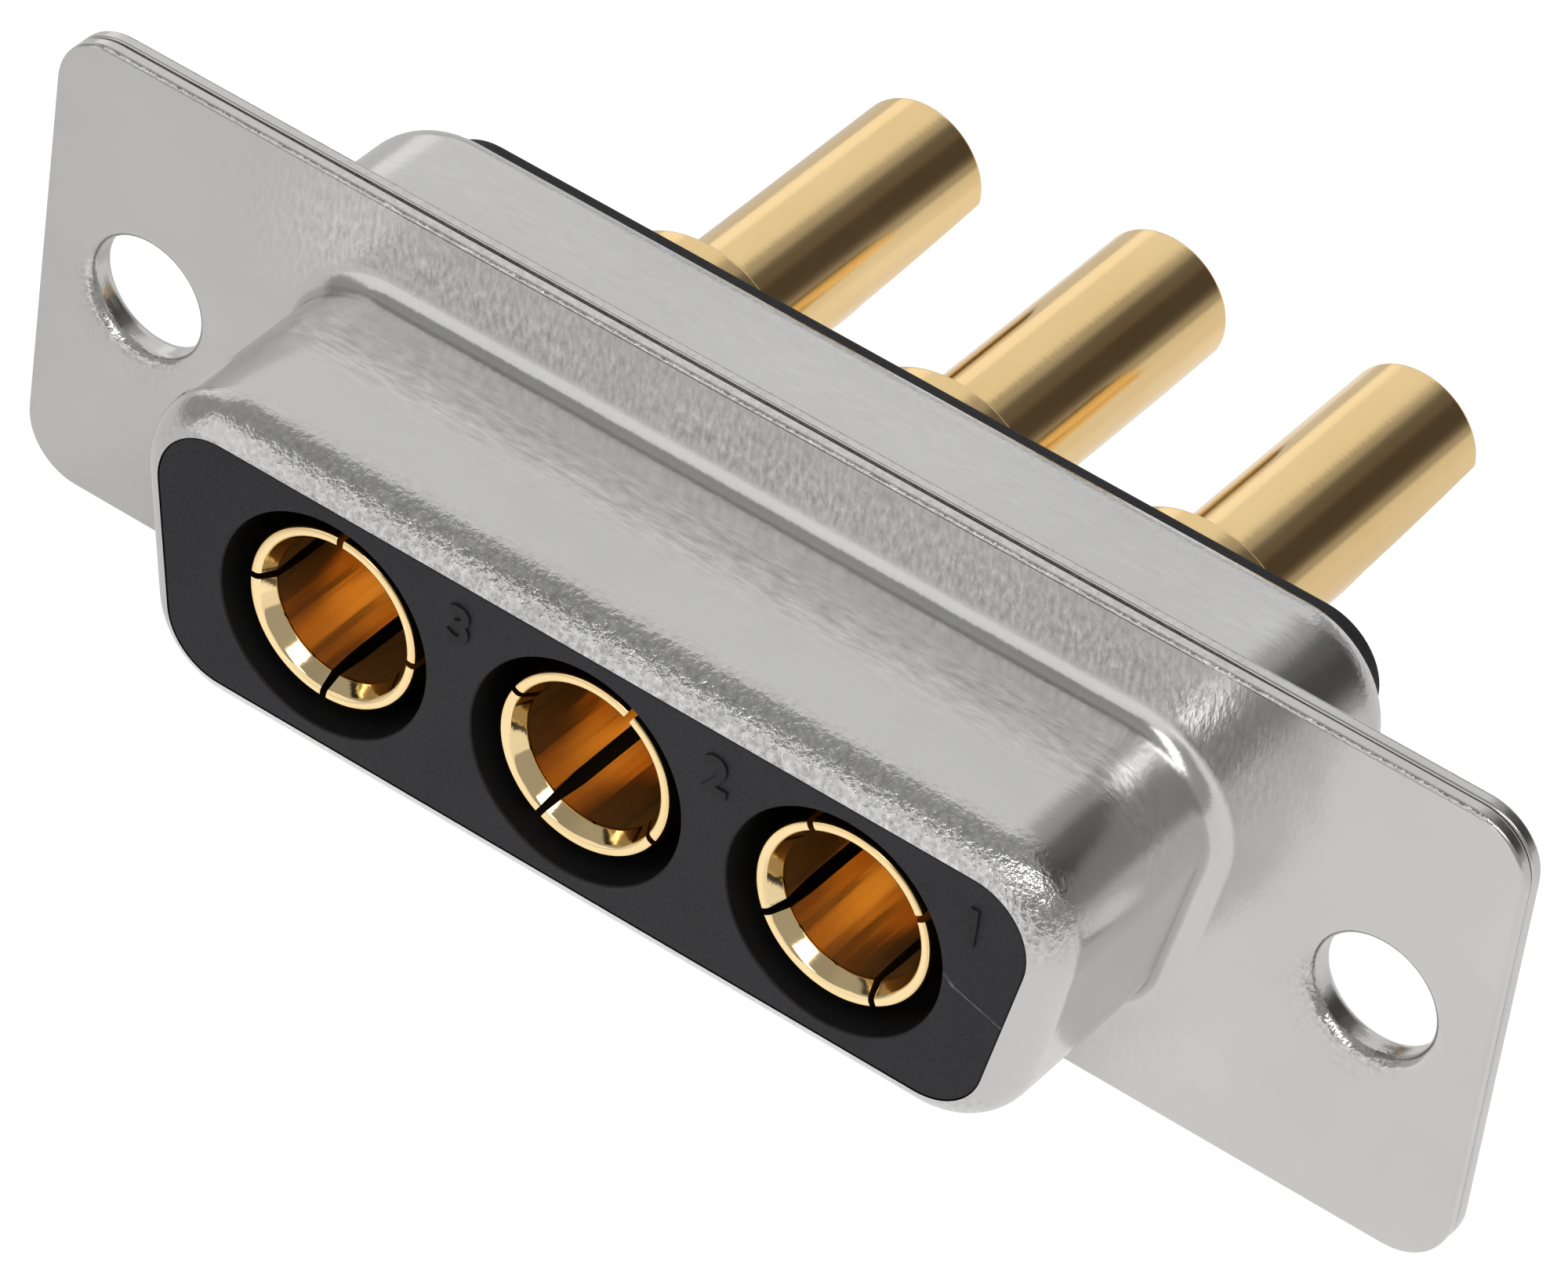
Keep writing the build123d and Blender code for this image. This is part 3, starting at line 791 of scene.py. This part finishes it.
def relieved(add, join, shader, height):
    """The shader's normal follows a height that is given in millimetres."""
    bump = add("ShaderNodeBump", Strength=1.0, Distance=0.001)
    join(height, bump.inputs["Height"])
    join(bump.outputs["Normal"], shader.inputs["Normal"])


print("helpers ready")

# %% [markdown]
# ## Plated sheet
# Bright tin plate is a soft mirror. Where the sheet was drawn hard its grain stands up and sparkles:
# fine dimples on the nose, the root and the upper edge's round, an orange peel drawn up and down on the
# flange beside the tube, and crinkles along the tube. How strong each is at a place is worked out
# per vertex and kept on the mesh for the finish to read. The finish bumps the grain and also paints
# its colour lighter and darker with it, as painted sparkle and painted shade.

# %% Where the sheet was drawn
def bell(value, middle, width):
    """exp(-((value - middle) / width)^2)."""
    return np.exp(-((value - middle) / width) ** 2)


def drawn_marks(piece, ring, tip, plane, sign):
    """Three amounts per vertex: dimple, peel and crinkle.

    Dimple is on the nose's upper side, the root, the upper edge's round, and the lower side of each
    hole's mouth. Peel falls off as a bell 2.2 mm wide over the flange. Crinkle is a band on the tube."""
    co = places_of(piece.data)
    gap = np.linalg.norm(co[:, None, [0, 2]] - ring[0][None], axis=2)
    away, rise = gap.min(1), ring[1][gap.argmin(1), 1]
    level = rise ** 2
    top = np.maximum(np.clip(rise / 0.5, 0, 1), np.where(rise < -0.5, 0.35, 0))
    reach = sign * (co[:, 1] - plane)
    edge = (co[:, 2] > 6.18) & (reach > -0.09) & (reach < 0.35)
    nose = top * np.clip((reach - tip + 1.5) / 1.1, 0, 1)
    nose *= 0.25 + 0.75 * np.clip((co[:, 0] + 11.5) / 5, 0, 1)
    root = 0.08 * bell(reach, 0.25, 0.45) * bell(away, 0, 0.9)
    dimple = np.maximum(np.maximum(nose, root), np.where(edge, 0.9, 0))
    peel = bell(away, 0, 2.2) * np.clip((away - 0.3) / 0.4, 0, 1) * level * np.where(rise > 0, 1.0, 0.15)
    peel = np.where(reach < 0.3, peel, 0)
    crinkle = np.where(reach > 0.5, bell(reach, 1.9, 0.8) * (0.2 + 0.8 * level), 0)
    if sign > 0:
        dimple, peel, crinkle = 0.45 * dimple, 0.25 * peel, 0.25 * crinkle
    else:
        for x in HOLES:
            radius = np.hypot(co[:, 0] - x, co[:, 2])
            below = -(0.5 * (co[:, 0] - x) + 0.87 * co[:, 2]) / np.maximum(radius, 0.1)
            mouth = 0.9 * bell(radius, 1.68, 0.13) * np.clip((below - 0.2) / 0.5, 0, 1)
            dimple = np.where(reach > -0.35, np.maximum(dimple, mouth), dimple)
    for name, amount in (("dimple", dimple), ("peel", peel), ("crinkle", crinkle)):
        layer = piece.data.attributes.new(name, "FLOAT", "POINT")
        layer.data.foreach_set("value", amount.astype(np.float32))
    means = [dimple.mean(), peel.mean(), crinkle.mean()]
    print(piece.name, "mean dimple, peel, crinkle:", np.round(means, 3))


drawn_marks(front_shell, tube, NOSE_ROUND - TUBE_NOSE[1], 0.0, -1)
drawn_marks(rear_shell, pan, PAN_TAIL[1] + TAIL_ROUND - FLANGE_REAR, FLANGE_REAR, 1)

# %% Tin plate
# Each grain's name, scale per metre, stretch, height in mm, and the gain and lift of its painted sparkle and
# shade in the colour.
GRAINS = (("dimple", 7200, (1, 1, 1), 0.052, 1.3, -0.12), ("peel", 7800, (1, 1, 0.38), 0.026, 2.0, 0.12),
          ("crinkle", 5600, (0.3, 1, 1), 0.014, 0.9, 0.08))


def plated_sheet():
    """Tin plate: a soft mirror. Height in mm = waves + streaks + each kind of grain times its amount.

    Painted sparkle and shade: the colour is scaled by 1 + amount times (a lift + a gain times (grain -
    0.5)), so raised grain is painted lighter, as a glint, and low grain darker."""
    material, shader, add, join, where = finish("bright tin plate", 1.0)
    cloud = noise(add, join, where, 160, 3)
    colour = two_tone(add, join, spread(add, join, cloud, 0, 1), (0.61, 0.605, 0.595), (0.67, 0.665, 0.655))
    join(spread(add, join, cloud, 0.17, 0.23), shader.inputs["Roughness"])
    height = scaled(add, join, noise(add, join, where, 600, 1), 0.022)
    height = scaled(add, join, noise(add, join, where, 3500, 2, 0.5, (0.06, 1, 1)), 0.0022, height)
    height = scaled(add, join, noise(add, join, where, 9000, 2), 0.0012, height)
    # Painted sparkle and shade: each grain scales the colour, lighter where it is raised and darker where it
    # is low.
    bright = 1.0
    for name, scale, stretch, ridge, gain, lift in GRAINS:
        amount = add("ShaderNodeAttribute", attribute_name=name).outputs["Fac"]
        grain = noise(add, join, where, scale, 2, 0.55, stretch)
        height = scaled(add, join, worked(add, join, "MULTIPLY", grain, amount), ridge, height)
        painted_sparkle = scaled(add, join, grain, gain, lift - 0.5 * gain)
        bright = worked(add, join, "MULTIPLY", bright, scaled(add, join, painted_sparkle, amount, 1.0))
    lit = add("ShaderNodeVectorMath", operation="SCALE")
    join(colour, lit.inputs[0])
    join(bright, lit.inputs["Scale"])
    join(lit.outputs[0], shader.inputs["Base Color"])
    relieved(add, join, shader, height)
    return material


plate = plated_sheet()
print("plate made:", plate.name)

# %% [markdown]
# ## Black moulding
# Glass-filled plastic from an eroded mould face is a dull charcoal with a grain as fine as powder.
# The cavity walls from the core pins are smoother, and so are the marks; both are painted near black as
# painted shade, for the dark in the deep holes and on the digits' strokes.

# %% Moulding finishes
SCRATCH_COLOUR = (0.22, 0.22, 0.22)


def scored(add, join, where, start, end, half_width):
    """One within half a width of a line on the face, in x and z, fading to nothing at a width and a half.

    The distance to the line is the length of what is left of place - start once its share along the
    line, kept between nought and one, is taken off."""
    line = np.subtract(end, start) / 1000
    per_length = line / (line @ line)
    on_plane = vectored(add, join, "MULTIPLY", where, (1, 0, 1))
    from_start = vectored(add, join, "SUBTRACT", on_plane, (start[0] / 1000, 0, start[1] / 1000))
    share = vectored(add, join, "DOT_PRODUCT", from_start, (per_length[0], 0, per_length[1]), out=1)
    kept = worked(add, join, "MULTIPLY", share, 1.0, use_clamp=True)
    along = vectored(add, join, "MULTIPLY", kept, (line[0], 0, line[1]))
    rest = vectored(add, join, "DISTANCE", from_start, along, out=1)
    across = add("ShaderNodeSeparateXYZ")
    join(where, across.inputs[0])
    in_front = worked(add, join, "LESS_THAN", across.outputs["Y"], (FACE + 0.05) / 1000)
    near = spread(add, join, rest, 1, 0, half_width / 1000, 3 * half_width / 1000)
    return worked(add, join, "MULTIPLY", near, in_front)


def moulding(name, first, second, low, high, grain, scratches=()):
    """Moulded plastic: two near blacks mixed by fine noise, dull, with a powdery height pattern."""
    material, shader, add, join, where = finish(name)
    speck = noise(add, join, where, 12000, 2)
    cloud = noise(add, join, where, 500, 3)
    colour = two_tone(add, join, spread(add, join, speck, 0, 1), first, second)
    height = scaled(add, join, speck, grain)
    worn = noise(add, join, where, 2600, 2)
    for start, end, half_width in scratches:
        scratch = scored(add, join, where, start, end, half_width)
        mask = worked(add, join, "MULTIPLY", scratch, spread(add, join, worn, 0.25, 1, 0.38, 0.55))
        colour = two_tone(add, join, mask, colour, SCRATCH_COLOUR)
        height = scaled(add, join, mask, -0.02, height)
    join(colour, shader.inputs["Base Color"])
    join(spread(add, join, cloud, low, high), shader.inputs["Roughness"])
    shader.inputs["Specular IOR Level"].default_value = 0.2
    relieved(add, join, shader, height)
    return material


charcoal = moulding("charcoal moulding", (0.024, 0.024, 0.027), (0.037, 0.037, 0.040), 0.5, 0.6, 0.006,
                    [((9.58, 0.42), (9.95, 0.15), 0.022), ((9.95, 0.15), (11.27, -0.25), 0.010)])
# Painted shade: the cavity walls get a darker black than the face, for the dark inside the deep holes.
pinned_and_shaded = moulding("pinned cavity wall", (0.010, 0.010, 0.011), (0.013, 0.013, 0.014), 0.4, 0.5, 0.002)
# Painted shade: the digits get a darker black than the face, for the shade on their strokes.
shaded_relief = moulding("smooth relief", (0.012, 0.012, 0.013), (0.016, 0.016, 0.017), 0.35, 0.45, 0.002)
print("moulding finishes made")

# %% [markdown]
# ## Gold plate
# Hard gold over nickel follows the turned surface below it: rings from the lathe tool on the
# barrel, long fine streaks in the reamed bore. The bore looks deeper in colour because the light
# meets gold several times before it comes out.

# %% Gold finish
def gold_plate(name, first, second, stretch, scale, ridge, low, high, metal=1.0):
    """Gold: warm metal with a little cloud in its colour, tool marks drawn out one way, and a fine grain."""
    material, shader, add, join, where = finish(name, metal)
    cloud = noise(add, join, where, 300, 3)
    join(two_tone(add, join, spread(add, join, cloud, 0, 1), first, second), shader.inputs["Base Color"])
    join(spread(add, join, cloud, low, high), shader.inputs["Roughness"])
    tool = noise(add, join, where, scale, 2, 0.5, stretch)
    grain = noise(add, join, where, 12000, 2)
    relieved(add, join, shader, scaled(add, join, tool, ridge, scaled(add, join, grain, 0.0006)))
    return material


gold = gold_plate("turned gold plate", (0.90, 0.640, 0.30), (0.95, 0.700, 0.355),
                  (0.03, 1, 0.03), 9000, 0.0011, 0.12, 0.18)
reamed = gold_plate("reamed gold bore", (0.985, 0.64, 0.24), (1.0, 0.69, 0.28),
                    (1, 0.04, 1), 2600, 0.017, 0.16, 0.24, 0.95)
burnished = gold_plate("burnished gold lead-in", (0.93, 0.71, 0.38), (0.96, 0.75, 0.42),
                       (1, 1, 1), 1400, 0.006, 0.06, 0.11)


def clip_finish():
    """Spring clip: heat-treated copper alloy, duller and redder than the gold beside it."""
    material, shader, add, join, where = finish("spring alloy", 1.0)
    cloud = noise(add, join, where, 900, 3)
    join(two_tone(add, join, spread(add, join, cloud, 0, 1), (0.62, 0.36, 0.20), (0.70, 0.44, 0.25)),
         shader.inputs["Base Color"])
    join(spread(add, join, cloud, 0.3, 0.42), shader.inputs["Roughness"])
    return material


alloy = clip_finish()
print("metals made")

# %% Finishes and bodies; the frame part each piece takes the place of is hidden
for piece, materials, node, slot in (
        (front_shell, [plate], "front_shell", "shell"), (rear_shell, [plate], "rear_shell", "shell"),
        (insulator, [charcoal, pinned_and_shaded], "insulator", "moulding"),
        (contacts[0], [gold, reamed, burnished], "contact_1", "contact"),
        (contacts[1], [gold, reamed, burnished], "contact_2", "contact"),
        (contacts[2], [gold, reamed, burnished], "contact_3", "contact")):
    for material in materials:
        piece.data.materials.append(material)
    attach(piece, "root")
    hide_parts(node)
for mark in marks:
    mark.data.materials.clear()
    mark.data.materials.append(shaded_relief)
    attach(mark, "root")
for number in (1, 2, 3):
    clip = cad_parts["retaining_clip_" + str(number)]
    clip.data.materials.clear()
    clip.data.materials.append(alloy)

# %% [markdown]
# ## Floor, light and camera
# The connector stands on a white table. The table is plain white to the camera, and an ordinary
# pale surface for the light, so it still takes the soft shadow. To reflections it glows unevenly, as a
# painted reflection: brightest under the sockets, dim on the left and dimmer at the rear. A large soft box
# stands behind on the left and a lower one in front on the left. What lies between them stays dim,
# which gives bright metal its dark streaks.

# %% White table
TABLE_WHITE = 0.72
# Painted reflection: the table's glow for reflections, in greys by x in mm.
REFLECTED_GLOW_STOPS = ((-30, 0.23), (-21, 0.23), (-15, 0.29), (-12, 0.58),
               (6, 0.60), (9.5, 0.43), (20, 0.42), (29, 0.36))
TABLE_HALF = 3


def white_table():
    """A pale diffuse surface with a glow of its own: one for the camera, and one for reflections.

    The second is a painted reflection: it has stops along x in mm, is brightest under the sockets and is
    dimmer at the rear."""
    material = bpy.data.materials.new("white table")
    material.use_nodes = True
    material.node_tree.nodes.clear()
    add, join = hands(material.node_tree)
    across = add("ShaderNodeSeparateXYZ")
    join(add("ShaderNodeTexCoord").outputs["Object"], across.inputs[0])
    ramp = add("ShaderNodeValToRGB")
    stops = ramp.color_ramp.elements
    stops.remove(stops[-1])
    for x, grey in REFLECTED_GLOW_STOPS:
        stop = stops[0] if x == -30 else stops.new((x + 30) / 60)
        stop.color = (grey, grey, grey, 1)
    join(spread(add, join, across.outputs["X"], 0, 1, -0.03, 0.03), ramp.inputs["Fac"])
    behind = spread(add, join, across.outputs["Y"], 1.0, 0.72, 0.005, 0.02)
    # Painted reflection: the glow by x, dimmer towards the rear.
    reflected_glow = worked(add, join, "MULTIPLY", ramp.outputs["Color"], behind)
    rays = add("ShaderNodeLightPath").outputs
    level = scaled(add, join, rays["Is Camera Ray"], TABLE_WHITE)
    level = scaled(add, join, rays["Is Glossy Ray"], reflected_glow, level)
    level = scaled(add, join, rays["Is Transmission Ray"], reflected_glow, level)
    glow = add("ShaderNodeEmission")
    join(level, glow.inputs["Strength"])
    both = add("ShaderNodeAddShader")
    join(add("ShaderNodeBsdfDiffuse", Color=(0.8, 0.8, 0.8, 1)).outputs[0], both.inputs[0])
    join(glow.outputs[0], both.inputs[1])
    join(both.outputs[0], add("ShaderNodeOutputMaterial").inputs["Surface"])
    return material


table_z = cad_box[0].z
table_mesh = bpy.data.meshes.new("table")
corners = [(x * TABLE_HALF, y * TABLE_HALF, table_z) for x, y in ((-1, -1), (1, -1), (1, 1), (-1, 1))]
table_mesh.from_pydata(corners, [], [(0, 1, 2, 3)])
table = in_scene("table", table_mesh)
table_mesh.materials.append(white_table())
print("table at z", round(table_z * 1000, 3), "mm")

# %% Soft boxes and room
LAMP_DISTANCE = 0.5
ROOM_LEVEL = 0.33
ROOM_MIRRORED = 0.04


def soft_box(name, direction, width, height, level):
    """A flat lamp that faces the origin. Its power is the wanted brightness times pi times its area."""
    lamp = bpy.data.lights.new(name, "AREA")
    lamp.shape = "RECTANGLE"
    lamp.size, lamp.size_y = width, height
    lamp.energy = level * np.pi * width * height
    holder = in_scene(name, lamp)
    way = Vector(direction).normalized()
    holder.location = way * LAMP_DISTANCE
    holder.rotation_euler = way.to_track_quat("Z", "Y").to_euler()


soft_box("box back left", (-0.55, 0.68, 0.45), 0.60, 0.42, 0.46)
soft_box("box low left", (-0.82, 0.56, 0.14), 0.26, 0.26, 0.22)
soft_box("box front left", (-0.42, -0.86, 0.38), 0.58, 0.50, 0.60)
soft_box("box front low", (0.22, -0.96, 0.08), 0.26, 0.16, 0.45)
soft_box("small top lamp", (0.39, -0.37, 0.84), 0.50, 0.16, 2.6)


def dim_lobe(add, join, way, direction, inner, outer, depth):
    """One minus depth inside a cone about a direction, back to one at the outer angle, by a smooth step."""
    dot = vectored(add, join, "DOT_PRODUCT", way, Vector(direction).normalized(), out=1)
    ends = np.cos(np.radians((outer, inner)))
    return spread(add, join, dot, 1.0, 1.0 - depth, *ends, "SMOOTHSTEP")


world = bpy.data.worlds.new("room")
bpy.context.scene.world = world
world.use_nodes = True
world.node_tree.nodes.clear()
add, join = hands(world.node_tree)
way = add("ShaderNodeTexCoord").outputs["Generated"]
deep = worked(add, join, "MULTIPLY", dim_lobe(add, join, way, (0.50, 0.69, 0.518), 20, 28, 0.66),
              dim_lobe(add, join, way, (0.567, 0.69, 0.443), 9, 15, 0.45))
dim = worked(add, join, "MULTIPLY", deep, dim_lobe(add, join, way, (0, -0.58, 0.81), 12, 35, 0.18))
rays = add("ShaderNodeLightPath").outputs
share = scaled(add, join, rays["Is Glossy Ray"], ROOM_MIRRORED, ROOM_LEVEL)
share = scaled(add, join, rays["Is Transmission Ray"], ROOM_MIRRORED, share)
# Nought to one becomes the room's level to one, so the camera itself sees plain white.
level = add("ShaderNodeMapRange")
join(rays["Is Camera Ray"], level.inputs["Value"])
join(worked(add, join, "MULTIPLY", dim, share), level.inputs["To Min"])
sky = add("ShaderNodeBackground")
join(level.outputs["Result"], sky.inputs["Strength"])
warmth = dim_lobe(add, join, way, (0.55, 0.69, 0.47), 13, 24, 1.0)
join(two_tone(add, join, warmth, (1.0, 0.87, 0.82), (1.0, 1.0, 1.0)), sky.inputs["Color"])
join(sky.outputs[0], add("ShaderNodeOutputWorld").inputs["Surface"])

# %% Camera where the photograph was taken from
camera = in_scene("camera", bpy.data.cameras.new("camera"))
camera.data.sensor_width = 36
camera.data.lens = 230.66
camera.data.clip_start, camera.data.clip_end = 0.01, 20
sight = np.array([-0.38580314, 0.65510862, -0.64960652])
right = np.array([0.80203608, 0.58614369, 0.11477678])
up = np.array([-0.45595402, 0.47672663, 0.75155682])
place = np.array([85.049, -142.473, 141.917]) / 1000
rows = [(*row, p) for row, p in zip(np.stack([right, up, -sight], 1), place)]
camera.matrix_world = Matrix(rows + [(0, 0, 0, 1)])
bpy.context.scene.camera = camera
bpy.context.scene.view_settings.view_transform = "Standard"
print("camera", np.round(place * 1000, 1), "mm, lens", round(camera.data.lens, 1))

# %% Print the frame's size
print("cad", [[round(v * 1000, 2) for v in c] for c in cad_box])
